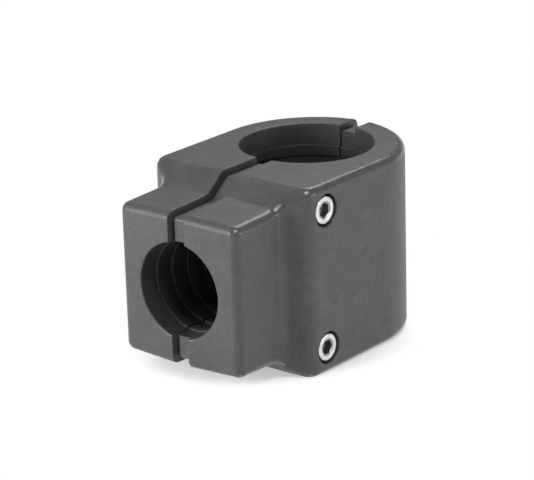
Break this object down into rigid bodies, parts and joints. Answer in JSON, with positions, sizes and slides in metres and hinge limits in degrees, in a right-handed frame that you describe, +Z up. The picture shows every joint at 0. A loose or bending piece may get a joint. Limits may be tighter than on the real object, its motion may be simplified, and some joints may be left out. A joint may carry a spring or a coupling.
{
  "type": "lean tube joint",
  "caption": "Two-part moulded clamp that grips an upright tube and a smaller level tube at a right angle, closed by socket-head screws.",
  "frame": {"origin": "the point where the axes of the upright and the level tube cross", "axes": "+Z up along the upright tube, -Y out along the level tube, +X towards the half with the screw heads"},
  "size_m": [0.06, 0.0917, 0.0594],
  "materials": {
    "moulding": "fine matt grain of a glass-filled black polyamide moulding",
    "zinc_steel": "bright zinc-plated steel"
  },
  "bodies": {
    "left_jaw": {"left_half": "moulding", "upper_nut": "zinc_steel", "lower_nut": "zinc_steel"},
    "right_jaw": {"right_half": "moulding"},
    "upper_screw_body": {"upper_screw": "zinc_steel"},
    "lower_screw_body": {"lower_screw": "zinc_steel"}
  },
  "joints": [
    {"name": "jaw_slide", "type": "slide", "parent": "left_jaw", "child": "right_jaw", "axis": [1, 0, 0], "range_m": [-0.0007, 0.0035]},
    {"name": "upper_screw_turn", "type": "hinge", "parent": "right_jaw", "child": "upper_screw_body", "pos_m": [0, -0.0292, 0.0214], "axis": [1, 0, 0], "range_deg": [-315.5, 1576]},
    {"name": "lower_screw_turn", "type": "hinge", "parent": "right_jaw", "child": "lower_screw_body", "pos_m": [0, -0.0292, -0.0214], "axis": [1, 0, 0], "range_deg": [-315.5, 1576]}
  ],
  "couplings": [
    {"joint": "upper_screw_turn", "follows": "jaw_slide", "rad_per_m": 7854},
    {"joint": "lower_screw_turn", "follows": "jaw_slide", "rad_per_m": 7854}
  ]
}
